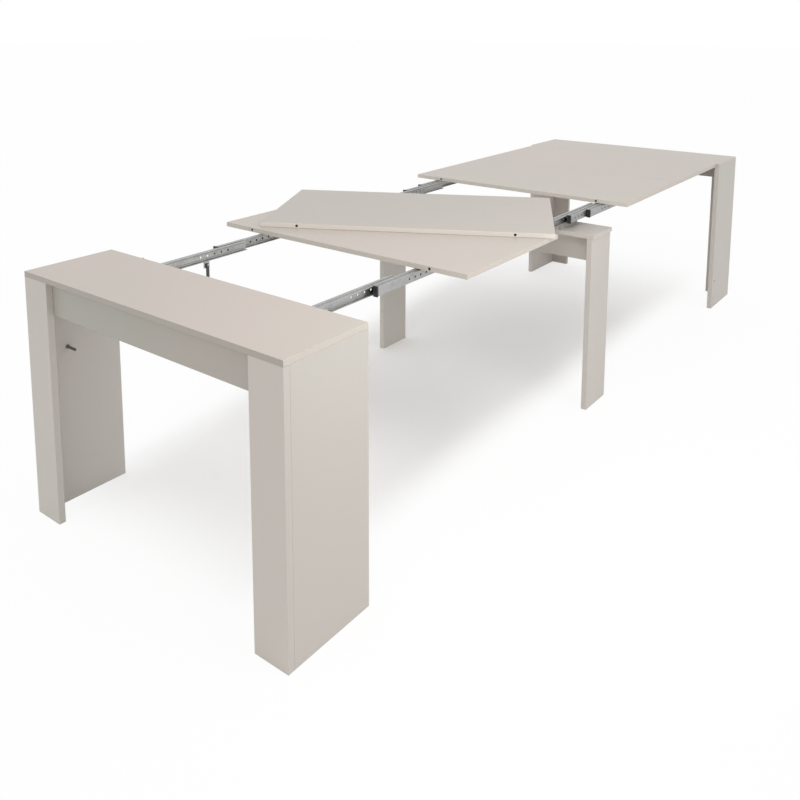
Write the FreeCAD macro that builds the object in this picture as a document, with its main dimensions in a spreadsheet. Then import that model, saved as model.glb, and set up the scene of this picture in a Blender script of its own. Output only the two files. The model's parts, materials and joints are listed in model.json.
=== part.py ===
import FreeCAD, Part
import os
import re

import Sketcher
from FreeCAD import Placement, Rotation, Vector

# Extending console table, drawn as it stands half laid: the near console, an open bay, the middle
# leaf with a loose leaf askew on it, a second open bay with the middle legs, two leaves and the
# far console. X runs across the table, Y from the near end to the far end, Z up from the floor.

# Driving dimensions in millimetres, and degrees for the turn of the loose leaf
SIZES = {
    "table_width": 1000,
    "table_height": 720,
    "console_depth": 280,
    "top_thickness": 15,
    "leg_thickness": 20,
    "front_width": 106,
    "apron_thickness": 16,
    "apron_height": 95,
    "edge_round": 1,
    # bays and leaves
    "near_gap": 448,
    "far_gap": 580,
    "leaf_depth": 550,
    "leaf_inset": 14,
    "leaf_seam": 0.3,
    "loose_turn": 28.6,
    "loose_aside": 53,
    "loose_behind": 225,
    # dowels in the rear edges, holes in the front edges
    "dowel_inset": 140,
    "dowel_diameter": 8,
    "dowel_out": 14,
    "dowel_sunk": 16,
    "dowel_seat": 0.05,
    "dowel_clearance": 0.3,
    "dowel_end_room": 4,
    # telescopic runners
    "runner_length": 484,
    "runner_height": 30,
    "runner_wall": 2,
    "runner_fit": 0.4,
    "runner_gap": 0.3,
    "inward_flange": 7,
    "outward_flange": 11,
    "runner_tip_gap": 3.5,
    "runner_side_room": 36.5,
    "runner_end_room": 4,
    "near_runner_back": 5,
    "runner_1_overlap": 119,
    "runner_2_overlap": 104,
    "runner_4_ahead": 203,
    "runner_5_overlap": 245,
    "runner_6_overlap": 353,
    "punch_diameter": 7,
    "punch_pitch": 27.5,
    "punch_margin": 34,
    "punch_1_margin": 300,
    "punch_2_margin": 141,
    "punch_4_margin": 233,
    "punch_6_margin": 105,
    "punch_count": 5,
    "stop_thickness": 6,
    "stop_lap": 1,
    # middle frame
    "middle_behind": 372,
    "middle_depth": 160,
    "middle_inset": 24,
    "plate_overhang": 6,
    "plate_thickness": 15,
    "beam_thickness": 16,
    "beam_height": 101,
    "spacer_height": 21.7,
    "spacer_margin": 12,
    # small fittings
    "peg_diameter": 8,
    "peg_length": 43,
    "peg_back": 106,
    "peg_height": 472,
    "cap_diameter": 9,
    "cap_depth": 3,
    "cap_clearance": 0.1,
    "cap_back": 32,
    "cap_height": 133,
    "lever_back": 478,
    "lever_length": 95,
    "lever_width": 10,
    "lever_thickness": 5,
    "lever_drop": 12,
    "lever_gap": 0.3,
    "bracket_thickness": 4,
    "bracket_depth": 20,
    "bracket_height": 22,
    "bracket_lap": 1,
    "pin_diameter": 5,
    "pin_clearance": 0.06,
    "pin_end": 1,
}

# Places and sizes that follow from the driving dimensions
FOLLOWS = {
    "half_width": "table_width / 2",
    "leaf_width": "table_width - 2 * leaf_inset",
    "leg_height": "table_height - top_thickness",
    "table_length": "2 * console_depth + near_gap + far_gap + 3 * leaf_depth + 2 * leaf_seam",
    "middle_leaf_front": "console_depth + near_gap",
    "middle_leaf_back": "middle_leaf_front + leaf_depth",
    "front_leaf_front": "middle_leaf_back + far_gap",
    "rear_leaf_front": "front_leaf_front + leaf_depth + leaf_seam",
    "far_front": "table_length - console_depth",
    "apron_back": "leg_thickness + apron_thickness",
    "loose_y": "middle_leaf_front + leaf_depth / 2 + loose_behind",
    "loose_reach": "leaf_width / 2 * cos(loose_turn) + leaf_depth / 2 * sin(loose_turn)",
    "origin_x": "(max(half_width; loose_reach - loose_aside) - loose_reach - loose_aside) / 2",
    "origin_y": "table_length / 2",
    "dowel_offset": "half_width - dowel_inset",
    "dowel_level": "top_thickness / 2",
    "runner_span": "inward_flange + runner_wall + outward_flange",
    "lane_pitch": "runner_wall + outward_flange + runner_tip_gap",
    "last_lane": "half_width - leg_thickness - runner_side_room - outward_flange - runner_wall",
    "runner_bottom": "leg_height - runner_gap - runner_height",
    "outward_low": "runner_wall + runner_fit",
    "outward_high": "runner_height - runner_wall - runner_fit",
    "middle_width": "table_width - 2 * middle_inset",
    "middle_y": "middle_leaf_back + middle_behind",
    "middle_front": "middle_y - middle_depth / 2",
    "plate_top": "runner_bottom - spacer_height",
    "middle_leg_height": "plate_top - plate_thickness",
    "start_0": "apron_back + runner_end_room",
    "length_0": "console_depth - near_runner_back - start_0",
    "start_1": "start_0 + length_0 - runner_1_overlap",
    "start_2": "start_1 + runner_length - runner_2_overlap",
    "start_3": "(start_2 + start_4) / 2",
    "start_4": "middle_front - runner_4_ahead",
    "start_5": "start_4 + runner_length - runner_5_overlap",
    "start_6": "start_5 + runner_length - runner_6_overlap",
    "start_7": "start_6 + (start_9 - start_6) / 3",
    "start_8": "start_6 + (start_9 - start_6) * 2 / 3",
    "start_9": "table_length - apron_back - runner_end_room - runner_length",
    "lever_pivot": "runner_bottom - lever_drop",
    "pin_hole": "pin_diameter + 2 * pin_clearance",
}

# Runner members are numbered from the near end; one carries the lever, one the middle frame, and
# some have a closed back
LEVER_RUNNER = 1
MIDDLE_RUNNER = 4
LAST_RUNNER = 9
CLOSED_RUNNERS = (2, 5, 6)
SIDES = {"left": -1, "right": 1}

# Smallest distance and smallest cut that count as more than nothing
TINY_LENGTH = 1e-9
TINY_VOLUME = 1

doc = FreeCAD.newDocument("ExtendingConsoleTable")
sheet = doc.addObject("Spreadsheet::Sheet", "Sizes")
for row, (alias, number) in enumerate(SIZES.items(), start=1):
    sheet.set(f"A{row}", alias)
    sheet.set(f"B{row}", str(number))
    sheet.setAlias(f"B{row}", alias)
doc.recompute()

sub_parts = []


def formula(text):
    """The expression for a formula in plain size names."""

    def cell(match):
        word = match.group()
        if word in FOLLOWS:
            return "(" + formula(FOLLOWS[word]) + ")"
        return "Sizes." + word if word in SIZES else word

    return re.sub(r"[a-z][a-z0-9_]*", cell, text)


def worth(text):
    """The number that a formula gives now."""
    return float(sheet.evalExpression(formula(text)))


def bind(thing, **formulas):
    """Ties properties of an object to formulas."""
    for name, text in formulas.items():
        thing.setExpression(name, formula(text))


def put(thing, x, y, z):
    """Ties an object's place to formulas, given from the near end's middle at the floor."""
    thing.setExpression("Placement.Base.x", formula(f"{x} - origin_x"))
    thing.setExpression("Placement.Base.y", formula(f"{y} - origin_y"))
    thing.setExpression("Placement.Base.z", formula(z))


def keep(thing, label):
    """Marks an object as a finished sub-part under its node name."""
    thing.Label = label
    sub_parts.append(thing)
    return thing


def sketch_on(body, role, name):
    """A sketch on one of the body's own origin planes."""
    sketch = body.newObject("Sketcher::SketchObject", name)
    plane = next(feature for feature in body.Origin.OriginFeatures if feature.Role == role)
    sketch.AttachmentSupport = [(plane, "")]
    sketch.MapMode = "FlatFace"
    return sketch


def hold_point(sketch, line, point, u, v):
    """Holds one point of a sketch at formulas for its two coordinates."""
    for kind, axis, text in (("DistanceX", -2, u), ("DistanceY", -1, v)):
        if abs(worth(text)) < TINY_LENGTH:
            sketch.addConstraint(Sketcher.Constraint("PointOnObject", line, point, axis))
            continue
        index = sketch.addConstraint(Sketcher.Constraint(kind, -1, 1, line, point, worth(text)))
        sketch.setExpression(f"Constraints[{index}]", formula(text))


def draw_outline(sketch, corners):
    """A closed outline of straight lines through corners given as pairs of formulas."""
    points = [Vector(worth(u), worth(v), 0) for u, v in corners]
    ends = points[1:] + points[:1]
    lines = [sketch.addGeometry(Part.LineSegment(point, end)) for point, end in zip(points, ends)]
    for line, following in zip(lines, lines[1:] + lines[:1]):
        sketch.addConstraint(Sketcher.Constraint("Coincident", line, 2, following, 1))
    for line, (u, v) in zip(lines, corners):
        hold_point(sketch, line, 1, u, v)


def draw_circle(sketch, u, v, diameter):
    """A circle at formulas for its centre and diameter."""
    centre = Vector(worth(u), worth(v), 0)
    number = sketch.addGeometry(Part.Circle(centre, Vector(0, 0, 1), worth(diameter) / 2))
    hold_point(sketch, number, 3, u, v)
    index = sketch.addConstraint(Sketcher.Constraint("Diameter", number, worth(diameter)))
    sketch.setExpression(f"Constraints[{index}]", formula(diameter))


def pad(body, sketch, length, backwards=False):
    feature = body.newObject("PartDesign::Pad", "Pad")
    feature.Profile = sketch
    feature.Reversed = backwards
    bind(feature, Length=length)
    return feature


def cut_depth(body, sketch, depth, backwards):
    """Cuts a sketch into a body and makes sure that it removed something."""
    doc.recompute()
    before = body.Shape.Volume
    feature = body.newObject("PartDesign::Pocket", "Pocket")
    feature.Profile = sketch
    feature.Reversed = backwards
    bind(feature, Length=depth)
    doc.recompute()
    if body.Shape.Volume > before - TINY_VOLUME:
        raise RuntimeError(f"{body.Label}: a pocket cut nothing")
    return feature


def board(label, width, depth, height, x, y, z):
    """A flat board with softened edges. Its corner nearest the near left foot is at x, y, z."""
    body = keep(doc.addObject("PartDesign::Body", label), label)
    outline = sketch_on(body, "XY_Plane", "Outline")
    draw_outline(outline, [("0", "0"), (width, "0"), (width, depth), ("0", depth)])
    base = pad(body, outline, height)
    doc.recompute()
    soft = body.newObject("PartDesign::Fillet", "SoftEdges")
    soft.Base = (base, [""])
    soft.UseAllEdges = True
    bind(soft, Radius="edge_round")
    put(body, x, y, z)
    return body


def drill_edge(body, width, depth, rear, diameter, length):
    """Two dowel bores in a board's front or rear edge."""
    bores = sketch_on(body, "XZ_Plane", "RearBores" if rear else "FrontBores")
    if rear:
        bores.setExpression("AttachmentOffset.Base.z", formula(f"-({depth})"))
    for sign in SIDES.values():
        draw_circle(bores, f"{width} / 2 + {sign} * dowel_offset", "dowel_level", diameter)
    cut_depth(body, bores, length, rear)


def rod(diameter, length, turn):
    """A round rod that starts at its own origin and runs along the turned Z axis."""
    piece = doc.addObject("Part::Cylinder", "Rod")
    bind(piece, Radius=f"({diameter}) / 2", Height=length)
    piece.Placement = Placement(Vector(), turn)
    return piece


def brick(width, depth, height, x, y, z):
    """A plain block at formulas for its size and place."""
    piece = doc.addObject("Part::Box", "Brick")
    bind(piece, Length=width, Width=depth, Height=height)
    put(piece, x, y, z)
    return piece


def group(label, pieces):
    """Separate equal pieces under one node."""
    together = doc.addObject("Part::Compound", label)
    together.Links = pieces
    return keep(together, label)


def dowels(label, width, depth):
    """The two dowels of a board's rear edge, in the board's own frame."""
    pieces = []
    for sign in SIDES.values():
        piece = rod("dowel_diameter", "dowel_sunk + dowel_out", Rotation(Vector(1, 0, 0), -90))
        piece.setExpression("Placement.Base.x", formula(f"{width} / 2 + {sign} * dowel_offset"))
        piece.setExpression("Placement.Base.y", formula(f"{depth} - dowel_sunk"))
        piece.setExpression("Placement.Base.z", formula("dowel_level"))
        pieces.append(piece)
    return group(label, pieces)


def bore_front(body, width):
    """The clearance bores that take the dowels of the board in front."""
    bore = "dowel_diameter + 2 * dowel_clearance"
    drill_edge(body, width, "0", False, bore, "dowel_out + dowel_end_room")


def bore_rear(body, width, depth):
    """The tight bores that hold a board's own dowels."""
    drill_edge(body, width, depth, True, "dowel_diameter + 2 * dowel_seat", "dowel_sunk + dowel_seat")


def console(name, top_y, panel_y, front_y, apron_y):
    """One console half: top, side panels behind the front panels, and the apron."""
    top = board(f"{name}_top", "table_width", "console_depth", "top_thickness",
                "-half_width", top_y, "leg_height")
    board(f"{name}_apron", "table_width - 2 * leg_thickness", "apron_thickness", "apron_height",
          "-half_width + leg_thickness", apron_y, "leg_height - apron_height")
    for side, sign in SIDES.items():
        panel_x = "-half_width" if sign < 0 else "half_width - leg_thickness"
        front_x = "-half_width" if sign < 0 else "half_width - front_width"
        board(f"{name}_side_{side}", "leg_thickness", "console_depth - leg_thickness", "leg_height",
              panel_x, panel_y, "0")
        board(f"{name}_front_{side}", "front_width", "leg_thickness", "leg_height",
              front_x, front_y, "0")
    return top


def leaf(label, x, y, z):
    """A leaf with clearance bores in front and dowels in its rear edge."""
    body = board(label, "leaf_width", "leaf_depth", "top_thickness", x, y, z)
    bore_front(body, "leaf_width")
    bore_rear(body, "leaf_width", "leaf_depth")
    pins = dowels(f"{label}_dowels", "leaf_width", "leaf_depth")
    put(pins, x, y, z)
    return body, pins


def nested_profile():
    """Section of a sliding member: a wide channel facing in and a narrower one facing out."""
    web = "inward_flange + runner_wall"
    return [[
        ("0", "0"), (web, "0"), (web, "outward_low"),
        ("runner_span", "outward_low"), ("runner_span", "outward_low + runner_wall"),
        (web, "outward_low + runner_wall"), (web, "outward_high - runner_wall"),
        ("runner_span", "outward_high - runner_wall"), ("runner_span", "outward_high"),
        (web, "outward_high"), (web, "runner_height"),
        ("0", "runner_height"), ("0", "runner_height - runner_wall"),
        ("inward_flange", "runner_height - runner_wall"), ("inward_flange", "runner_wall"),
        ("0", "runner_wall"),
    ]]


def closed_profile():
    """Section of a sliding member whose outward side is a flat back over a hollow."""
    web = "inward_flange + runner_wall"
    back = "runner_span - runner_wall"
    outside = [
        ("0", "0"), (web, "0"), (web, "outward_low"),
        ("runner_span", "outward_low"), ("runner_span", "outward_high"),
        (web, "outward_high"), (web, "runner_height"),
        ("0", "runner_height"), ("0", "runner_height - runner_wall"),
        ("inward_flange", "runner_height - runner_wall"), ("inward_flange", "runner_wall"),
        ("0", "runner_wall"),
    ]
    hollow = [
        (web, "outward_low + runner_wall"), (back, "outward_low + runner_wall"),
        (back, "outward_high - runner_wall"), (web, "outward_high - runner_wall"),
    ]
    return [outside, hollow]


def near_profile():
    """Section of the member under the near top: a channel facing out and a screw flange."""
    web = "inward_flange + runner_wall"
    seat = "runner_height + runner_gap"
    return [[
        ("inward_flange", "outward_low"), ("runner_span", "outward_low"),
        ("runner_span", "outward_low + runner_wall"), (web, "outward_low + runner_wall"),
        (web, "outward_high - runner_wall"), ("runner_span", "outward_high - runner_wall"),
        ("runner_span", "outward_high"), (web, "outward_high"), (web, seat), ("0", seat),
        ("0", f"{seat} - runner_wall"), ("inward_flange", f"{seat} - runner_wall"),
    ]]


def far_profile():
    """Section of the member under the far top: a channel facing in and a screw flange."""
    web = "inward_flange + runner_wall"
    seat = "runner_height + runner_gap"
    return [[
        ("0", "0"), (web, "0"), (web, f"{seat} - runner_wall"),
        ("runner_span", f"{seat} - runner_wall"), ("runner_span", seat), ("inward_flange", seat),
        ("inward_flange", "runner_height"), ("0", "runner_height"),
        ("0", "runner_height - runner_wall"), ("inward_flange", "runner_height - runner_wall"),
        ("inward_flange", "runner_wall"), ("0", "runner_wall"),
    ]]


def lane(number):
    """Distance of a member's web from the table's middle line."""
    return f"(last_lane - {LAST_RUNNER - number} * lane_pitch)"


def punch(body, number):
    """A row of punched holes along the member's web."""
    own_margin = f"punch_{number}_margin"
    margin = own_margin if own_margin in SIZES else "punch_margin"
    row = sketch_on(body, "YZ_Plane", "PunchedHole")
    draw_circle(row, margin, "runner_height / 2", "punch_diameter")
    hole = cut_depth(body, row, "runner_span", True)
    pattern = body.newObject("PartDesign::LinearPattern", "PunchedRow")
    pattern.Originals = [hole]
    pattern.Direction = (row, ["H_Axis"])
    bind(pattern, Length="(punch_count - 1) * punch_pitch", Occurrences="punch_count")
    body.Tip = pattern


def runner(number, side, sign):
    """One member of a telescopic runner, on its own lane and drawn out as it stands."""
    label = f"runner_{number}_{side}"
    body = keep(doc.addObject("PartDesign::Body", label), label)
    profiles = {0: near_profile, LAST_RUNNER: far_profile}
    profiles.update({closed: closed_profile for closed in CLOSED_RUNNERS})
    section = sketch_on(body, "XZ_Plane", "Section")
    for corners in profiles.get(number, nested_profile)():
        if sign < 0:
            corners = [(f"runner_span - ({u})", v) for u, v in corners]
        draw_outline(section, corners)
    pad(body, section, "length_0" if number == 0 else "runner_length", backwards=True)
    punch(body, number)
    inner = f"{lane(number)} - inward_flange"
    x = inner if sign > 0 else f"-({inner} + runner_span)"
    put(body, x, f"start_{number}", "runner_bottom")
    return body


def end_stops(number):
    """Black end stops on the front ends of a left and a right member."""
    pieces = []
    width = "stop_lap + runner_wall + outward_flange"
    for sign in SIDES.values():
        inner = f"{lane(number)} - stop_lap"
        x = inner if sign > 0 else f"-({inner} + {width})"
        y = f"start_{number} - stop_thickness"
        pieces.append(brick(width, "stop_thickness", "runner_height", x, y, "runner_bottom"))
    return group(f"runner_{number}_stops", pieces)


def build_consoles():
    near_top = console("near", "0", "leg_thickness", "0", "leg_thickness")
    bore_rear(near_top, "table_width", "console_depth")
    put(dowels("near_dowels", "table_width", "console_depth"), "-half_width", "0", "leg_height")
    far_top = console("far", "far_front", "far_front", "table_length - leg_thickness",
                      "table_length - apron_back")
    bore_front(far_top, "table_width")


def build_leaves():
    leaf("leaf_middle", "-leaf_width / 2", "middle_leaf_front", "leg_height")
    leaf("leaf_far_front", "-leaf_width / 2", "front_leaf_front", "leg_height")
    leaf("leaf_far_rear", "-leaf_width / 2", "rear_leaf_front", "leg_height")
    across = "leaf_width / 2 * {0}(loose_turn)"
    along = "leaf_depth / 2 * {0}(loose_turn)"
    x = f"-loose_aside - {across.format('cos')} + {along.format('sin')}"
    y = f"loose_y - {across.format('sin')} - {along.format('cos')}"
    for piece in leaf("leaf_loose", x, y, "table_height + leaf_seam"):
        piece.Placement = Placement(piece.Placement.Base, Rotation(Vector(0, 0, 1), worth("loose_turn")))
        piece.setExpression("Placement.Rotation.Angle", formula("loose_turn") + " * 1 deg")


def build_runners():
    for number in range(LAST_RUNNER + 1):
        for side, sign in SIDES.items():
            runner(number, side, sign)
        if 0 < number < LAST_RUNNER:
            end_stops(number)


def build_middle_frame():
    board("middle_plate", "middle_width + 2 * plate_overhang", "middle_depth", "plate_thickness",
          "-middle_width / 2 - plate_overhang", "middle_front", "middle_leg_height")
    board("middle_beam", "middle_width - 2 * leg_thickness", "beam_thickness", "beam_height",
          "-middle_width / 2 + leg_thickness", "middle_y - beam_thickness / 2",
          "middle_leg_height - beam_height")
    spacers = []
    for side, sign in SIDES.items():
        leg_x = "-middle_width / 2" if sign < 0 else "middle_width / 2 - leg_thickness"
        board(f"middle_leg_{side}", "leg_thickness", "middle_depth", "middle_leg_height",
              leg_x, "middle_front", "0")
        inner = f"{lane(MIDDLE_RUNNER)} - inward_flange"
        width = "inward_flange + runner_wall"
        x = inner if sign > 0 else f"-({inner} + {width})"
        spacers.append(brick(width, "middle_depth - 2 * spacer_margin", "spacer_height",
                             x, "middle_front + spacer_margin", "plate_top"))
    group("middle_spacers", spacers)


def build_pegs():
    """Storage pegs on the inner faces of the near side panels."""
    pegs = []
    for sign in SIDES.values():
        peg = rod("peg_diameter", "peg_length", Rotation(Vector(0, 1, 0), -sign * 90))
        put(peg, f"{sign} * (half_width - leg_thickness)", "peg_back", "peg_height")
        pegs.append(peg)
    group("storage_pegs", pegs)


def build_cap():
    """Small cap let into the outer face of the far right side panel."""
    panel = doc.getObject("far_side_right")
    seat = sketch_on(panel, "YZ_Plane", "CapSeat")
    seat.setExpression("AttachmentOffset.Base.z", formula("leg_thickness"))
    draw_circle(seat, "cap_back", "cap_height", "cap_diameter")
    cut_depth(panel, seat, "cap_depth", False)
    cap = keep(rod("cap_diameter - 2 * cap_clearance", "cap_depth", Rotation(Vector(0, 1, 0), 90)),
               "far_cap")
    put(cap, "half_width - cap_depth", "far_front + cap_back", "cap_height")


def pin_through(label, diameter, x, length):
    """A rod across the lever's pivot."""
    piece = rod(diameter, length, Rotation(Vector(0, 1, 0), 90))
    put(piece, x, "lever_back", "lever_pivot")
    piece.Label = label
    return piece


def drilled(label, solid, x, length):
    """A piece with the pivot's bore through it."""
    cut = doc.addObject("Part::Cut", label)
    cut.Base = solid
    cut.Tool = pin_through(f"{label}_bore", "pin_hole", x, length)
    return keep(cut, label)


def build_lever():
    """Flat lever that hangs from a bracket below the near left runner."""
    bracket_x = f"bracket_lap - {lane(LEVER_RUNNER)} - bracket_thickness"
    lever_x = f"{bracket_x} + bracket_thickness + lever_gap"
    bracket = brick("bracket_thickness", "bracket_depth", "bracket_height",
                    bracket_x, "lever_back - bracket_depth / 2", "runner_bottom - bracket_height")
    drilled("lever_bracket", bracket, bracket_x, "bracket_thickness")
    blade = brick("lever_thickness", "lever_width", "lever_length - lever_width",
                  lever_x, "lever_back - lever_width / 2", "lever_pivot - lever_length + lever_width")
    ends = []
    for drop in ("0", "lever_length - lever_width"):
        end = rod("lever_width", "lever_thickness", Rotation(Vector(0, 1, 0), 90))
        put(end, lever_x, "lever_back", f"lever_pivot - ({drop})")
        ends.append(end)
    shape = doc.addObject("Part::MultiFuse", "LeverShape")
    shape.Shapes = [blade] + ends
    drilled("lock_lever", shape, lever_x, "lever_thickness")
    reach = "bracket_thickness + lever_gap + lever_thickness + pin_end"
    keep(pin_through("lever_pin", "pin_diameter", bracket_x, reach), "lever_pin")


def check_all():
    """Every object is up to date and every sub-part is a sound solid."""
    for thing in doc.Objects:
        if "Invalid" in thing.State or "Error" in thing.State:
            raise RuntimeError(f"{thing.Label}: {thing.State}")
    for thing in sub_parts:
        if thing.Shape.isNull() or not thing.Shape.isValid() or not thing.Shape.Solids:
            raise RuntimeError(f"{thing.Label}: no sound solid")


def write_parts():
    os.makedirs("parts", exist_ok=True)
    for thing in sub_parts:
        thing.Shape.exportStep(f"parts/{thing.Label}.step")


build_consoles()
build_leaves()
build_runners()
build_middle_frame()
build_pegs()
build_cap()
build_lever()
doc.recompute()
check_all()
write_parts()
whole = Part.makeCompound([thing.Shape for thing in sub_parts]).BoundBox
print(len(sub_parts), "sub-parts", whole)
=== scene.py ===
import json
import math

import bmesh
import bpy
from mathutils import Matrix, Vector


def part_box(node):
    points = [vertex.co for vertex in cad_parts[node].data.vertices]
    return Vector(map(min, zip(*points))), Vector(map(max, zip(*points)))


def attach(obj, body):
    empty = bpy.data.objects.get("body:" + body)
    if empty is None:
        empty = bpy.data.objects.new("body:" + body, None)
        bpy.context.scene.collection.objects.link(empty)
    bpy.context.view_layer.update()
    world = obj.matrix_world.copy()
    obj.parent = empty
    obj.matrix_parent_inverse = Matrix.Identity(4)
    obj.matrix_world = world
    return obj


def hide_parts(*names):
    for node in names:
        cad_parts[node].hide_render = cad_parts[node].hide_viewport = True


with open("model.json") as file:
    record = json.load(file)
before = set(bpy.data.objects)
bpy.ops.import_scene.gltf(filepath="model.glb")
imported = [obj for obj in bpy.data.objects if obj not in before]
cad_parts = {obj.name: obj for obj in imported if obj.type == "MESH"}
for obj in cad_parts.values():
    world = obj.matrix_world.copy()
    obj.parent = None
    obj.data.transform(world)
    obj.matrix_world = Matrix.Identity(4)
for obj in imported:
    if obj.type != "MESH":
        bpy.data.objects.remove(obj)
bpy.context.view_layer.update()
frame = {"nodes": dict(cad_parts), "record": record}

# Lengths are metres in the table's frame: X across, Y from the near console to the far one, Z up
MM = 0.001
MERGE_DISTANCE = 1e-6
SMOOTH_ANGLE = math.radians(32)
TURN_STEPS = 20
DOME_STEPS = 4
SIDES = {"left": -1, "right": 1}
LAST_RUNNER = 9

# Camera of the photograph, whose upright lines are drawn nearly parallel; a part of that is done by
# the shift of its centre, which is kept small enough for the whole table to show from other sides
PICTURE_SIDE = 800
CAMERA_PLACE = (1.7219, -2.7916, 1.4167)
CAMERA_TURN = math.radians(38.022)
CAMERA_DIP = math.radians(8.3)
FOCAL_PIXELS = 842.7
CENTRE_PIXEL = (380.0, 140.0)
SENSOR_WIDTH = 36.0

# Studio light in an even white room: a key lamp from the front, a broad one overhead, two panels
# close by on the right above the near half, and a low fill
LAMPS = {
    "key_lamp": ((0.7, -2.4, 1.5), 0.46, math.radians(12)),
    "overhead_lamp": ((0.0, 0.0, 3.0), 0.20, math.radians(60)),
}
PANELS = {
    "near_panel": ((0.98, -1.35, 1.20), (0.10, -1.30, 0.72), 0.5, 1.2, 2.9),
    "middle_panel": ((1.00, -0.35, 1.25), (0.10, -0.35, 0.72), 0.5, 1.2, 2.2),
    "low_fill": ((2.40, -0.20, 0.55), (0.00, 0.10, 0.55), 1.0, 2.0, 4.8),
}
ROOM_LIGHT = 0.74

# White floor: outside a box drawn between these pairs of lines it glows white to the eye, painted light
# over the floor's shade there; inside, the rendered shadow shows; the left pair runs aslant, farther
# out towards the far end
FLOOR_SIDE = 80.0
FLOOR_WHITE_SHARES = (0.10, 0.92)
SHADOW_SLANT = 0.12
SHADOW_LEFT = (-0.72, -0.50)
SHADOW_RIGHT = (0.22, 0.42)
SHADOW_NEAR = (-1.62, -1.15)
SHADOW_FAR = (0.25, 2.25)

# Dowels and their bores
DOWEL_OFFSET = 360 * MM
DOWEL_RADIUS = 4 * MM
DOWEL_LENGTH = 30 * MM
DOWEL_FLUTES = 16
FLUTE_DEPTH = 0.3 * MM
BORE_RADIUS = 4.6 * MM
BORE_CORE = 0.94 * BORE_RADIUS

# Strip on the front and rear edges of tops and leaves, whose tone board by board is painted shade where
# darker and painted light where lighter
EDGE_STRIP_WIDTH = 1 * MM

# Runner members, as they are rolled, and the ball cages that lie against their webs
RUNNER_HEIGHT = 30 * MM
INWARD_FLANGE = 7 * MM
WEB = 2 * MM
BACK = 13 * MM
CLOSED_RUNNERS = (2, 5, 6)
CAGE_LEVELS = (5.2 * MM, 24.8 * MM)
CAGE_HEIGHT = 5 * MM
CAGE_WALL = 0.7 * MM
CAGE_STANDOFF = 2 * CAGE_WALL
CAGE_END_ROOM = 10 * MM
CAGE_ROUNDING = 0.2 * MM
GUIDE_HEIGHT = 14 * MM
GUIDE_THICKNESS = 2 * MM
GUIDE_GAP = 0.2 * MM
BALL_RADIUS = 1.4 * MM
BALL_STANDOFF = 1.2 * BALL_RADIUS
BALL_PITCH = 8.5 * MM

# Heads of rivets and screws, sunk a little into what they sit on
HEAD_SINK = WEB / 4
RIVET_RADIUS = 2.4 * MM
RIVET_RISE = 0.8 * MM
RIVET_MARGIN = 15 * MM
RIVET_STEPS = 12
SCREW_RADIUS = 3.4 * MM
SCREW_WELL = 0.4 * SCREW_RADIUS
SCREW_RISE = 1.8 * MM
SCREW_MARGIN = 22 * MM
SCREW_STEPS = 16

# End stops of the runners
STOP_WIDTH = 14 * MM
STOP_ROUNDING = 1.2 * MM
STOP_RIM = 2 * MM
STOP_SINK = 1.2 * MM

# Pegs, with a collar that slopes to the shank
PEG_LENGTH = 43 * MM
PEG_RADIUS = 4 * MM
COLLAR_RADIUS = 1.6 * PEG_RADIUS
COLLAR_CREST = 0.85 * COLLAR_RADIUS
COLLAR_RIM = 1.5 * MM
COLLAR_SLOPE = 2.5 * MM
COLLAR_HEIGHT = 3 * MM

# Cap: its rise, and its rings as shares of its radius
CAP_RISE = 0.7 * MM
CAP_RIM = 0.8
CAP_GROOVE = 0.76
CAP_CROWN = 0.72

# Lever with a boss at the pivot and ribs at the tip, and its pin; the boss's foot and crest are
# shares of the lever's end radius, and the pin's head is a share of the pin's radius
LEVER_STEPS = 24
LEVER_ROUNDING = 0.8 * MM
LEVER_ARRIS_TURN = 1.0
BOSS_FOOT = 0.9
BOSS_CREST = 0.8
BOSS_SINK = 0.2 * MM
BOSS_WALL = 0.5 * MM
BOSS_RISE = 0.7 * MM
RIB_COUNT = 4
RIB_PITCH = 3 * MM
RIB_WIDTH = 1.2 * MM
RIB_RISE = 0.5 * MM
RIB_SINK = 0.3 * MM
RIB_MARGIN = 2 * MM
RIB_ROUNDING = 0.3 * MM
PIN_HEAD = 1.35
PIN_HEAD_RISE = 0.8 * MM
PIN_HEAD_SINK = 0.2 * MM


def srgb(red, green, blue):
    """A colour given as display values from 0 to 255, in the linear light that shaders use."""

    def linear(value):
        share = value / 255
        return share / 12.92 if share <= 0.04045 else ((share + 0.055) / 1.055) ** 2.4

    return (linear(red), linear(green), linear(blue), 1.0)


# Lacquer tones, each a greener and a pinker one that it drifts between
TOP_GREIGE = srgb(197, 190, 180), srgb(201, 190, 182)
LOOSE_GREIGE = srgb(189, 183, 174), srgb(193, 183, 176)
PANEL_GREIGE = srgb(192, 188, 180), srgb(195, 188, 181)
# Left panels: lighter than the panels, painted light on their inner faces, which lie in shade
LEFT_PAINTED_LIGHT_GREIGE = srgb(197, 193, 186), srgb(200, 193, 187)
# Aprons: darker than the panels, painted shade for the shade under the top
APRON_PAINTED_SHADE_GREIGE = srgb(168, 166, 157), srgb(172, 166, 158)

# Boards whose lacquer is toned for light and shade: the aprons darker, as painted shade under the top,
# and the left panels lighter, as painted light on their shaded inner faces
LIGHT_AND_SHADE_LACQUERS = {
    "apron_painted_shade_lacquer": (APRON_PAINTED_SHADE_GREIGE, ("near_apron", "far_apron")),
    "left_painted_light_lacquer": (LEFT_PAINTED_LIGHT_GREIGE, ("near_side_left", "middle_leg_left", "far_side_left")),
}

# Tone of the front and rear edges on each board: painted shade on the darker ones such as the near
# top's, painted light on the loose leaf's
EDGE_LIGHT_SHADE_TONES = {
    "near_top": srgb(169, 163, 154),
    "leaf_middle": srgb(190, 184, 175),
    "leaf_loose": srgb(221, 214, 206),
    "leaf_far_front": srgb(201, 195, 186),
    "leaf_far_rear": srgb(190, 184, 175),
    "far_top": srgb(184, 178, 169),
}

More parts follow.
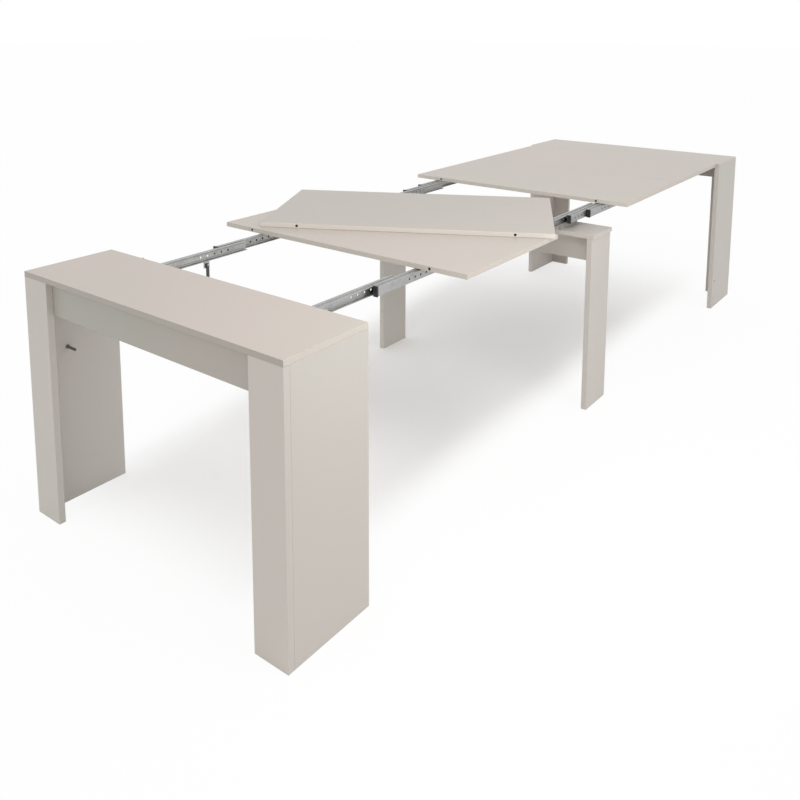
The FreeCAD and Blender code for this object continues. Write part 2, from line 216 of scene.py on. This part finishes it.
# Other colours: most finishes run from a first tone to a second
LACQUER_CLOUD = srgb(178, 171, 162)
LACQUER_RUBBED = srgb(222, 216, 209)
RAW_BOARD = srgb(104, 92, 80)
ZINC = srgb(184, 184, 183), srgb(156, 157, 157)
ZINC_SMEAR = srgb(126, 127, 127)
ZINC_BRIGHT = srgb(212, 212, 211)
BLACK_PLASTIC = srgb(26, 26, 27), srgb(66, 66, 66)
GREY_PLASTIC = srgb(160, 159, 155), srgb(186, 185, 181)
PEG_PLASTIC = srgb(108, 104, 101), srgb(148, 144, 140)
POWDER = srgb(58, 58, 60), srgb(76, 76, 78)
BARE_STEEL = srgb(168, 168, 170)
BEECH = srgb(208, 188, 156), srgb(186, 162, 126)
BEECH_FLECK = srgb(142, 114, 82)
WHITE = (1, 1, 1, 1)

# Rounded edges that shaders draw: rays for each, and one less the cosine of the turn where wear is full
EDGE_SAMPLES = 6
WORN_TURN = 0.28


class Strand:
    """A value in a finish's nodes; arithmetic on it adds Math nodes."""

    def __init__(self, finish, socket):
        self.finish = finish
        self.socket = socket

    def math(self, operation, *values):
        return self.finish.node("Math", {"operation": operation}, dict(enumerate(values)))

    def __add__(self, other):
        return self.math("ADD", self, other)

    def __mul__(self, other):
        return self.math("MULTIPLY", self, other)

    def __sub__(self, other):
        return self.math("SUBTRACT", self, other)

    def __rsub__(self, other):
        return self.math("SUBTRACT", other, self)

    def __pow__(self, power):
        return self.math("POWER", self, power)

    __radd__ = __add__
    __rmul__ = __mul__

    def over(self, low, high):
        """0 below low, 1 above high and a smooth step between."""
        sockets = {"Value": self, "From Min": low, "From Max": high}
        return self.finish.node("MapRange", {"interpolation_type": "SMOOTHSTEP"}, sockets)


class Finish:
    """A node tree of a material or of the room, built node by node."""

    def __init__(self, owner):
        owner.use_nodes = True
        self.owner = owner
        self.tree = owner.node_tree
        self.tree.nodes.clear()

    def node(self, kind, settings=None, sockets=None, output=0):
        """Adds a node, sets it up, fills its sockets and returns one of its outputs."""
        made = self.tree.nodes.new("ShaderNode" + kind)
        for name, value in (settings or {}).items():
            setattr(made, name, value)
        for name, value in (sockets or {}).items():
            if isinstance(value, Strand):
                self.tree.links.new(value.socket, made.inputs[name])
            else:
                made.inputs[name].default_value = value
        return Strand(self, made.outputs[output]) if made.outputs else None

    def mix(self, share, first, second):
        """A colour between two others."""
        return self.node("Mix", {"data_type": "RGBA"}, {0: share, 6: first, 7: second}, 2)

    def placed(self, centre=(0, 0, 0), turn=0.0, stretch=(1, 1, 1)):
        """Object coordinates seen from a centre, turned about Z and stretched."""
        own = self.node("TexCoord", output="Object")
        sockets = {"Vector": own, "Location": centre, "Rotation": (0, 0, turn), "Scale": stretch}
        return self.node("Mapping", {"vector_type": "TEXTURE"}, sockets)

    def noise(self, place, scale, detail=2.0, rough=0.5):
        sockets = {"Vector": place, "Scale": scale, "Detail": detail, "Roughness": rough}
        return self.node("TexNoise", None, sockets)

    def rounded(self, radius):
        """The normal of a surface whose edges are rounded."""
        return self.node("Bevel", {"samples": EDGE_SAMPLES}, {"Radius": radius})

    def worn_edge(self, radius):
        """1 on sharp edges, fading to 0 on the flat within the radius."""
        rounded = self.rounded(radius)
        flat = self.node("NewGeometry", output="Normal")
        alike = self.node("VectorMath", {"operation": "DOT_PRODUCT"}, {0: rounded, 1: flat}, "Value")
        return (1 - alike).over(0.0, WORN_TURN)

    def bump(self, height, depth, normal=None):
        sockets = {"Height": height, "Strength": 1.0, "Distance": depth}
        if normal:
            sockets["Normal"] = normal
        return self.node("Bump", None, sockets)

    def shade(self, sockets):
        """Ends the tree in a principled surface and returns the material."""
        surface = self.node("BsdfPrincipled", None, sockets)
        self.node("OutputMaterial", None, {"Surface": surface})
        return self.owner


def lacquer(name, green, pink, lie=None, edge_light_shade_tone=None):
    """Satin greige lacquer with a slow drift of tone, faint orange peel and rubbed edges.

    A board's lie is its middle, turn, half depth and whether it is bored in front: its front and
    rear edges get a tone that paints the light and shade on that edge, and the dowel bores show raw
    board.
    """
    paint = Finish(bpy.data.materials.new(name))
    place = paint.placed()
    drift = paint.noise(place, scale=1.7, detail=1.0).over(0.34, 0.66)
    cloud = paint.noise(place, scale=38.0, detail=3.0, rough=0.6)
    peel = paint.noise(place, scale=140.0, detail=1.0)
    rub = paint.noise(paint.placed(stretch=(40.0, 1.0, 1.0)), scale=700.0).over(0.62, 0.8)
    edge = paint.worn_edge(radius=1.6 * MM)
    edge = edge * paint.noise(place, scale=90.0, detail=3.0).over(0.35, 0.75)
    tone = paint.mix(drift, green, pink)
    tone = paint.mix(cloud * 0.05, tone, LACQUER_CLOUD)
    raw = 0.0
    if lie:
        middle, turn, half_depth, bored = lie
        own = paint.placed(middle, turn)
        across, along, up = (paint.node("SeparateXYZ", None, {0: own}, axis) for axis in "XYZ")
        out = along.math("ABSOLUTE", along)
        band = out.over(half_depth - EDGE_STRIP_WIDTH, half_depth - EDGE_STRIP_WIDTH / 2)
        tone = paint.mix(band, tone, edge_light_shade_tone)
        if bored:
            aside = across.math("ABSOLUTE", across) - DOWEL_OFFSET
            raw = 1 - (aside ** 2 + up ** 2).over(BORE_CORE ** 2, BORE_RADIUS ** 2)
            tone = paint.mix(raw, tone, RAW_BOARD)
    tone = paint.mix(edge * 0.20, tone, LACQUER_RUBBED)
    return paint.shade({
        "Base Color": tone,
        "Roughness": 0.34 + cloud * 0.05 + rub * 0.04 + edge * 0.10 + raw * 0.4,
        "Specular IOR Level": 0.14,
        "Coat Weight": 0.09 - edge * 0.04 - raw * 0.09,
        "Coat Roughness": 0.07,
        "Coat IOR": 1.5,
        "Normal": paint.bump(peel, depth=0.004 * MM),
    })


def zinc_steel():
    """Bright zinc plate with lengthwise rolling streaks, faint spangle and bright rubbed edges."""
    zinc = Finish(bpy.data.materials.new("zinc_steel"))
    place = zinc.placed()
    streak = zinc.noise(zinc.placed(stretch=(1.0, 90.0, 1.0)), scale=1500.0, detail=3.0)
    spangle = zinc.node("TexVoronoi", None, {"Vector": place, "Scale": 240.0}, "Color")
    fleck = zinc.node("SeparateColor", None, {0: spangle}, 0)
    smear = zinc.noise(place, scale=34.0, detail=3.0).over(0.4, 0.75)
    edge = zinc.worn_edge(radius=0.9 * MM)
    tone = zinc.mix(fleck * 0.35 + streak * 0.25, *ZINC)
    tone = zinc.mix(smear * 0.22, tone, ZINC_SMEAR)
    tone = zinc.mix(edge * 0.5, tone, ZINC_BRIGHT)
    rounded = zinc.rounded(radius=0.7 * MM)
    return zinc.shade({
        "Base Color": tone,
        "Metallic": 1.0,
        "Roughness": 0.36 + streak * 0.14 + smear * 0.10,
        "Normal": zinc.bump(streak, depth=0.004 * MM, normal=rounded),
    })


def moulded(name, dark, pale, grain_scale):
    """Moulded plastic with a fine grained skin and scuffed corners."""
    plastic = Finish(bpy.data.materials.new(name))
    place = plastic.placed()
    grain = plastic.noise(place, grain_scale)
    scuff = plastic.worn_edge(radius=0.8 * MM) * plastic.noise(place, scale=260.0).over(0.35, 0.7)
    tone = plastic.mix(grain.over(0.3, 0.8) * 0.5 + scuff * 0.4, dark, pale)
    return plastic.shade({
        "Base Color": tone,
        "Roughness": 0.42 + grain * 0.16 + scuff * 0.15,
        "Normal": plastic.bump(grain, depth=0.03 * MM),
    })


def powder_coat():
    """Dark satin powder coat, worn to bare steel on the lever's arrises."""
    coat = Finish(bpy.data.materials.new("dark_powder_coat"))
    place = coat.placed()
    grain = coat.noise(place, scale=1700.0)
    bare = coat.worn_edge(radius=0.6 * MM) * coat.noise(place, scale=150.0).over(0.45, 0.6)
    tone = coat.mix(grain, *POWDER)
    tone = coat.mix(bare * 0.8, tone, BARE_STEEL)
    return coat.shade({
        "Base Color": tone,
        "Metallic": bare * 0.9,
        "Roughness": 0.5 + grain * 0.12 - bare * 0.15,
        "Normal": coat.bump(grain, depth=0.05 * MM),
    })


def beech():
    """Bare turned beech with fine lengthwise grain and short dark flecks."""
    wood = Finish(bpy.data.materials.new("beech_dowel"))
    lengthwise = wood.placed(stretch=(1.0, 16.0, 1.0))
    fibre = wood.noise(lengthwise, scale=1100.0, detail=4.0, rough=0.6)
    fleck = wood.noise(wood.placed(stretch=(1.0, 7.0, 1.0)), scale=1900.0, detail=1.0).over(0.62, 0.7)
    tone = wood.mix(fibre.over(0.3, 0.7), *BEECH)
    tone = wood.mix(fleck * 0.6, tone, BEECH_FLECK)
    return wood.shade({
        "Base Color": tone,
        "Roughness": 0.62 + fibre * 0.2,
        "Normal": wood.bump(fibre, depth=0.06 * MM),
    })


def shown_white(finish):
    """1 where the eye meets a surface directly, in a mirror or through glass."""
    straight = finish.node("LightPath", output="Is Camera Ray")
    mirrored = finish.node("LightPath", output="Is Glossy Ray")
    through = finish.node("LightPath", output="Is Transmission Ray")
    seen = straight.math("MAXIMUM", straight, mirrored)
    return seen.math("MAXIMUM", seen, through)


def light_room():
    """An even white room that shows as pure white and lights at a plain level."""
    world = bpy.data.worlds.new("white_room")
    bpy.context.scene.world = world
    room = Finish(world)
    strength = ROOM_LIGHT + shown_white(room) * (1 - ROOM_LIGHT)
    glow = room.node("Background", None, {"Color": WHITE, "Strength": strength})
    room.node("OutputWorld", None, {"Surface": glow})


def hang_lamp(lamp, place, direction):
    """Sets a lamp in place, out of sight, shining in a direction."""
    holder = bpy.data.objects.new(lamp.name, lamp)
    holder.location = place
    holder.rotation_mode = "QUATERNION"
    holder.rotation_quaternion = direction.to_track_quat("-Z", "Y")
    holder.visible_camera = False
    bpy.context.scene.collection.objects.link(holder)


def light_table():
    """Distant lamps by place, strength and spread, and panels by place, aim, size and power."""
    for name, (place, strength, spread) in LAMPS.items():
        lamp = bpy.data.lights.new(name, "SUN")
        lamp.energy = strength
        lamp.angle = spread
        hang_lamp(lamp, place, -Vector(place))
    for name, (place, aim, width, length, power) in PANELS.items():
        panel = bpy.data.lights.new(name, "AREA")
        panel.shape = "RECTANGLE"
        panel.size = width
        panel.size_y = length
        panel.energy = power
        hang_lamp(panel, place, Vector(aim) - Vector(place))


def lay_floor():
    """A white floor that shows its rendered shadow within a box round the table and farther off glows
    white, painted light over its shade.
    """
    form = bmesh.new()
    bmesh.ops.create_grid(form, x_segments=1, y_segments=1, size=FLOOR_SIDE / 2)
    mesh = bpy.data.meshes.new("floor")
    form.to_mesh(mesh)
    form.free()
    floor = bpy.data.objects.new("floor", mesh)
    bpy.context.scene.collection.objects.link(floor)
    paper = Finish(bpy.data.materials.new("white_paper"))
    matt = paper.node("BsdfDiffuse", None, {"Color": WHITE})
    glow = paper.node("Emission", None, {"Color": WHITE, "Strength": 1.0})
    place = paper.placed()
    across, along = (paper.node("SeparateXYZ", None, {0: place}, axis) for axis in "XY")
    aslant = across + along * SHADOW_SLANT
    shade = aslant.over(*SHADOW_LEFT) * (1 - across.over(*SHADOW_RIGHT))
    shade = shade * along.over(*SHADOW_NEAR) * (1 - along.over(*SHADOW_FAR))
    least, most = FLOOR_WHITE_SHARES
    # The glow is painted light: least inside the shadow's box, most outside it, where it hides the
    # floor's shade
    share = shown_white(paper) * (most - shade * (most - least))
    both = paper.node("MixShader", None, {0: share, 1: matt, 2: glow})
    paper.node("OutputMaterial", None, {"Surface": both})
    mesh.materials.append(paper.owner)


def set_camera():
    """The photograph's view; the picture plane is shifted to the centre pixel."""
    lens = bpy.data.cameras.new("camera")
    lens.sensor_width = SENSOR_WIDTH
    lens.lens = FOCAL_PIXELS * SENSOR_WIDTH / PICTURE_SIDE
    lens.shift_x = 0.5 - CENTRE_PIXEL[0] / PICTURE_SIDE
    lens.shift_y = CENTRE_PIXEL[1] / PICTURE_SIDE - 0.5
    camera = bpy.data.objects.new("camera", lens)
    camera.location = CAMERA_PLACE
    camera.rotation_euler = (math.pi / 2 - CAMERA_DIP, 0, CAMERA_TURN)
    bpy.context.scene.collection.objects.link(camera)
    bpy.context.scene.camera = camera


def paint_nodes(finishes):
    """Gives every CAD node the finish of its slot in the record."""
    for part in frame["record"]["subparts"]:
        mesh = frame["nodes"][part["node"]].data
        mesh.materials.clear()
        mesh.materials.append(finishes[part["material_slot"]])


def loose_leaf_lie():
    """How the loose leaf lies, from its box, a straight leaf's depth and a socket in the record."""
    low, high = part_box("leaf_loose")
    mounts = frame["record"]["mounts"]
    axis = next(mount["axis"] for mount in mounts if mount["name"].startswith("leaf_socket"))
    turn = math.atan2(axis[0], -axis[1])
    straight_low, straight_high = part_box("leaf_middle")
    return (low + high) / 2, turn, (straight_high - straight_low).y / 2, True


def board_lie(node):
    """How a straight board lies; only leaves are bored in front."""
    low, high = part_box(node)
    return (low + high) / 2, 0.0, (high - low).y / 2, node.startswith("leaf")


def finish_all():
    """The finishes by slot; top boards also get lacquers of their own, with edges toned as painted
    light and shade, and aprons and left panels get lacquers toned as painted shade and painted light.
    """
    finishes = {
        "lacquer": lacquer("greige_lacquer", *PANEL_GREIGE),
        "galvanised_steel": zinc_steel(),
        "black_plastic": moulded("black_plastic", *BLACK_PLASTIC, grain_scale=2200.0),
        "grey_plastic": moulded("grey_plastic", *GREY_PLASTIC, grain_scale=1800.0),
        "dark_lever": powder_coat(),
        "dark_peg": moulded("dark_peg", *PEG_PLASTIC, grain_scale=1500.0),
        "dowel": beech(),
    }
    paint_nodes(finishes)
    for node, edge_light_shade_tone in EDGE_LIGHT_SHADE_TONES.items():
        loose = node == "leaf_loose"
        tones = LOOSE_GREIGE if loose else TOP_GREIGE
        lie = loose_leaf_lie() if loose else board_lie(node)
        board = lacquer(f"{node}_lacquer", *tones, lie, edge_light_shade_tone)
        frame["nodes"][node].data.materials[0] = board
    for name, (tones, nodes) in LIGHT_AND_SHADE_LACQUERS.items():
        shared = lacquer(name, *tones)
        for node in nodes:
            frame["nodes"][node].data.materials[0] = shared
    return finishes


def bodies_by_node():
    """The body that each node belongs to."""
    listed = frame["record"]["behaviour"]["bodies"]
    return {node: body for body, nodes in listed.items() for node in nodes}


def make_piece(name, form, slot, body, smooth_angle=SMOOTH_ANGLE):
    """Turns a drawn form into a piece with a finish, riding on a body."""
    bmesh.ops.remove_doubles(form, verts=form.verts, dist=MERGE_DISTANCE)
    bmesh.ops.recalc_face_normals(form, faces=form.faces)
    mesh = bpy.data.meshes.new(name)
    form.to_mesh(mesh)
    form.free()
    mesh.polygons.foreach_set("use_smooth", [True] * len(mesh.polygons))
    mesh.set_sharp_from_angle(angle=smooth_angle)
    mesh.materials.append(finishes[slot])
    piece = bpy.data.objects.new(name, mesh)
    bpy.context.scene.collection.objects.link(piece)
    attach(piece, body)
    return piece


def stand_in(node, form):
    """A drawn form that takes the place of a CAD node, with the node's body and slot."""
    listed = frame["record"]["subparts"]
    slot = next(part["material_slot"] for part in listed if part["node"] == node)
    piece = make_piece(f"{node}_shape", form, slot, home[node])
    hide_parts(node)


def aimed(place, axis):
    """A frame at a place whose Z runs along an axis."""
    return Matrix.Translation(place) @ Vector(axis).to_track_quat("Z", "Y").to_matrix().to_4x4()


def turn_profile(form, profile, lie, steps=TURN_STEPS):
    """Adds a turned solid: a profile of radius and height pairs, spun about its own Z."""
    points = [form.verts.new((radius, 0, height)) for radius, height in profile]
    lines = [form.edges.new(pair) for pair in zip(points, points[1:])]
    known = set(form.verts) - set(points)
    bmesh.ops.spin(form, geom=points + lines, axis=(0, 0, 1), cent=(0, 0, 0), angle=2 * math.pi,
                   steps=steps, use_merge=True)
    made = [vert for vert in form.verts if vert not in known]
    bmesh.ops.transform(form, matrix=lie, verts=made)
    return made


def soft_block(form, low, high, rounding):
    """Adds a block with rounded edges and returns its faces."""
    known = set(form.faces)
    size = high - low
    lie = Matrix.Translation((low + high) / 2) @ Matrix.Diagonal((*size, 1.0))
    corners = bmesh.ops.create_cube(form, size=1.0, matrix=lie)["verts"]
    edges = list({edge for corner in corners for edge in corner.link_edges})
    bmesh.ops.bevel(form, geom=edges, offset=rounding, affect="EDGES", segments=2, profile=0.5,
                    material=-1)
    return [face for face in form.faces if face not in known]


def dome(radius, rise):
    """Profile of a shallow dome."""
    angles = [math.pi / 2 * step / DOME_STEPS for step in range(DOME_STEPS + 1)]
    return [(radius * math.cos(angle), rise * math.sin(angle)) for angle in angles]


def fluted_dowels(node, turn):
    """A board's two dowels: fluted, with chamfered ends."""
    low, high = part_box(node)
    middle = (low + high) / 2
    across = Vector((math.cos(turn), math.sin(turn), 0))
    along = Vector((-math.sin(turn), math.cos(turn), 0))
    chamfer = DOWEL_RADIUS / 3
    tip = DOWEL_RADIUS - chamfer
    profile = [(0, 0), (tip, 0), (DOWEL_RADIUS, chamfer), (DOWEL_RADIUS, DOWEL_LENGTH - chamfer),
               (tip, DOWEL_LENGTH), (0, DOWEL_LENGTH)]
    form = bmesh.new()
    for sign in SIDES.values():
        start = middle + across * sign * DOWEL_OFFSET - along * DOWEL_LENGTH / 2
        lie = aimed(start, along)
        made = turn_profile(form, profile, Matrix(), 2 * DOWEL_FLUTES)
        for vert in made:
            step = round(math.atan2(vert.co.y, vert.co.x) / math.pi * DOWEL_FLUTES)
            if step % 2 and vert.co.xy.length > tip + chamfer / 2:
                vert.co.xy *= 1 - FLUTE_DEPTH / DOWEL_RADIUS
        bmesh.ops.transform(form, matrix=lie, verts=made)
    stand_in(node, form)


def moulded_stops(number):
    """The end stops of a left and a right member: rounded blocks with a sunk front."""
    node = f"runner_{number}_stops"
    low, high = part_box(node)
    inner = Vector((STOP_WIDTH, 0, 0))
    form = bmesh.new()
    for corner, far_corner in ((low, Vector((low.x, high.y, high.z)) + inner),
                               (Vector((high.x, low.y, low.z)) - inner, high)):
        faces = soft_block(form, corner, far_corner, STOP_ROUNDING)
        front = min(faces, key=lambda face: face.normal.y * face.calc_area())
        bmesh.ops.inset_region(form, faces=[front], thickness=STOP_RIM, depth=0)
        bmesh.ops.translate(form, verts=front.verts, vec=(0, STOP_SINK, 0))
    stand_in(node, form)


def web_face(number, side):
    """Place of a member's web on its inward side at the front end, its inward axis and its length."""
    low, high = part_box(f"runner_{number}_{side}")
    sign = SIDES[side]
    inner = low.x if sign > 0 else high.x
    place = Vector((inner + sign * INWARD_FLANGE, low.y, low.z))
    return place, Vector((-sign, 0, 0)), high.y - low.y


def ball_cages(number):
    """Cages and balls above and below on the inward side of a member's web."""
    cages = bmesh.new()
    balls = bmesh.new()
    body = home[f"runner_{number}_left"]
    for side in SIDES:
        place, inward, length = web_face(number, side)
        count = int((length - 2 * CAGE_END_ROOM) / BALL_PITCH)
        for level in CAGE_LEVELS:
            middle = place + Vector((0, length / 2, level)) + inward * CAGE_STANDOFF
            size = Vector((CAGE_WALL, length - 2 * CAGE_END_ROOM, CAGE_HEIGHT))
            soft_block(cages, middle - size / 2, middle + size / 2, CAGE_ROUNDING)
            for step in range(count):
                ball = place + Vector((0, CAGE_END_ROOM + (step + 0.5) * BALL_PITCH, level))
                lie = Matrix.Translation(ball + inward * BALL_STANDOFF)
                bmesh.ops.create_icosphere(balls, subdivisions=1, radius=BALL_RADIUS, matrix=lie)
    make_piece(f"ball_cages_{number}", cages, "grey_plastic", body)
    make_piece(f"balls_{number}", balls, "galvanised_steel", body, smooth_angle=math.pi)


def hollow_guides(number):
    """Plastic guides behind the punched backs of the closed members."""
    form = bmesh.new()
    for side in SIDES:
        place, inward, length = web_face(number, side)
        behind = BACK - WEB - GUIDE_GAP - GUIDE_THICKNESS / 2
        middle = place + Vector((0, length / 2, RUNNER_HEIGHT / 2)) - inward * behind
        size = Vector((GUIDE_THICKNESS, length - 2 * CAGE_END_ROOM, GUIDE_HEIGHT))
        soft_block(form, middle - size / 2, middle + size / 2, CAGE_ROUNDING)
    make_piece(f"hollow_guides_{number}", form, "black_plastic", home[f"runner_{number}_left"])


def web_rivets(number):
    """Rivet heads near both ends of a member's web, and on its back where that is closed."""
    form = bmesh.new()
    profile = [(0, -HEAD_SINK), (RIVET_RADIUS, -HEAD_SINK)] + dome(RIVET_RADIUS, RIVET_RISE)
    for side in SIDES:
        place, inward, length = web_face(number, side)
        seats = [(place, inward)]
        if number in CLOSED_RUNNERS:
            seats.append((place - inward * BACK, -inward))
        for seat, axis in seats:
            for y in (RIVET_MARGIN, length - RIVET_MARGIN):
                spot = seat + Vector((0, y, RUNNER_HEIGHT / 2))
                turn_profile(form, profile, aimed(spot, axis), RIVET_STEPS)
    make_piece(f"rivets_{number}", form, "galvanised_steel", home[f"runner_{number}_left"])


def flange_screws(number, flange_middle):
    """Pan-head screws below the flange that holds an end member to its top."""
    form = bmesh.new()
    crown = [spot for spot in reversed(dome(SCREW_RADIUS, SCREW_RISE)) if spot[0] > SCREW_WELL]
    profile = [(0, SCREW_RISE / 3), (SCREW_WELL, SCREW_RISE / 3), (SCREW_WELL, SCREW_RISE)] + crown
    profile += [(SCREW_RADIUS, -HEAD_SINK), (0, -HEAD_SINK)]
    for side in SIDES:
        place, inward, length = web_face(number, side)
        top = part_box(f"runner_{number}_{side}")[1].z - WEB
        for y in (SCREW_MARGIN, length / 2, length - SCREW_MARGIN):
            spot = place + inward * flange_middle
            lie = aimed((spot.x, spot.y + y, top), (0, 0, -1))
            turn_profile(form, profile, lie, SCREW_STEPS)
    make_piece(f"screws_{number}", form, "galvanised_steel", home[f"runner_{number}_left"])


def turned_pegs():
    """Storage pegs with a collar at the panel and a rounded tip."""
    low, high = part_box("storage_pegs")
    middle = (low + high) / 2
    collar = [(0, 0), (COLLAR_RADIUS, 0), (COLLAR_RADIUS, COLLAR_RIM), (COLLAR_CREST, COLLAR_SLOPE),
              (PEG_RADIUS, COLLAR_HEIGHT)]
    shank = PEG_LENGTH - PEG_RADIUS
    tip = [(radius, shank + rise) for radius, rise in dome(PEG_RADIUS, PEG_RADIUS)]
    form = bmesh.new()
    for x, axis in ((low.x, (1, 0, 0)), (high.x, (-1, 0, 0))):
        turn_profile(form, collar + tip, aimed((x, middle.y, middle.z), axis))
    stand_in("storage_pegs", form)


def domed_cap():
    """The cap on the far right panel, domed, with a sunk ring round its edge."""
    low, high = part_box("far_cap")
    middle = (low + high) / 2
    radius = (high - low).z / 2
    depth = (high - low).x
    rim = [(0, 0), (radius, 0), (radius, depth), (CAP_RIM * radius, depth),
           (CAP_GROOVE * radius, depth - CAP_RISE / 2)]
    crown = [(CAP_CROWN * across, depth + rise) for across, rise in dome(radius, CAP_RISE)]
    form = bmesh.new()
    turn_profile(form, rim + crown, aimed((low.x, middle.y, middle.z), (1, 0, 0)))
    stand_in("far_cap", form)


def rounded_lever():
    """The lever: a bar with round ends and soft arrises, a boss at the pivot and ribs at the tip."""
    low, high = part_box("lock_lever")
    radius = (high - low).y / 2
    middle_y = (low.y + high.y) / 2
    pivot = Vector((high.x, middle_y, high.z - radius))
    form = bmesh.new()
    for x in (low.x, high.x):
        for z in (low.z + radius, high.z - radius):
            lie = aimed((x, middle_y, z), (1, 0, 0))
            bmesh.ops.create_circle(form, segments=LEVER_STEPS, radius=radius, matrix=lie)
    bmesh.ops.convex_hull(form, input=form.verts)
    arrises = [edge for edge in form.edges
               if edge.is_manifold and edge.calc_face_angle() > LEVER_ARRIS_TURN]
    bmesh.ops.bevel(form, geom=arrises, offset=LEVER_ROUNDING, affect="EDGES", segments=2, profile=0.5,
                    material=-1)
    foot = BOSS_FOOT * radius
    boss = [(0, -BOSS_SINK), (foot, -BOSS_SINK), (foot, BOSS_WALL), (BOSS_CREST * radius, BOSS_RISE),
            (0, BOSS_RISE)]
    turn_profile(form, boss, aimed(pivot, (1, 0, 0)), LEVER_STEPS)
    for step in range(RIB_COUNT):
        z = low.z + radius + step * RIB_PITCH
        rib_low = Vector((high.x - RIB_SINK, low.y + RIB_MARGIN, z))
        rib_high = Vector((high.x + RIB_RISE, high.y - RIB_MARGIN, z + RIB_WIDTH))
        soft_block(form, rib_low, rib_high, RIB_ROUNDING)
    stand_in("lock_lever", form)


def headed_pin():
    """The lever's pin with a domed head on the open side."""
    low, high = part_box("lever_pin")
    middle = (low + high) / 2
    radius = (high - low).z / 2
    length = (high - low).x
    head_radius = PIN_HEAD * radius
    seat = length - PIN_HEAD_SINK
    shank = [(0, 0), (radius, 0), (radius, seat), (head_radius, seat)]
    head = [(across, length + rise) for across, rise in dome(head_radius, PIN_HEAD_RISE)]
    form = bmesh.new()
    turn_profile(form, shank + head, aimed((low.x, middle.y, middle.z), (1, 0, 0)))
    stand_in("lever_pin", form)


def dress_runners():
    """Balls, rivets, guides and stops on the members, and the screws that hold the two end ones."""
    for number in range(1, LAST_RUNNER + 1):
        ball_cages(number)
        web_rivets(number)
        if number in CLOSED_RUNNERS:
            hollow_guides(number)
        if number < LAST_RUNNER:
            moulded_stops(number)
    flange_screws(0, INWARD_FLANGE / 2)
    flange_screws(LAST_RUNNER, -(WEB + BACK) / 2)


def dress_fittings():
    """Dowels, pegs, cap, lever and pin."""
    loose_turn = loose_leaf_lie()[1]
    for board in ("near", "leaf_middle", "leaf_far_front", "leaf_far_rear", "leaf_loose"):
        fluted_dowels(f"{board}_dowels", loose_turn if board == "leaf_loose" else 0.0)
    turned_pegs()
    domed_cap()
    rounded_lever()
    headed_pin()


set_camera()
light_room()
light_table()
lay_floor()
finishes = finish_all()
home = bodies_by_node()
dress_runners()
dress_fittings()
bpy.context.scene.view_settings.view_transform = "Standard"
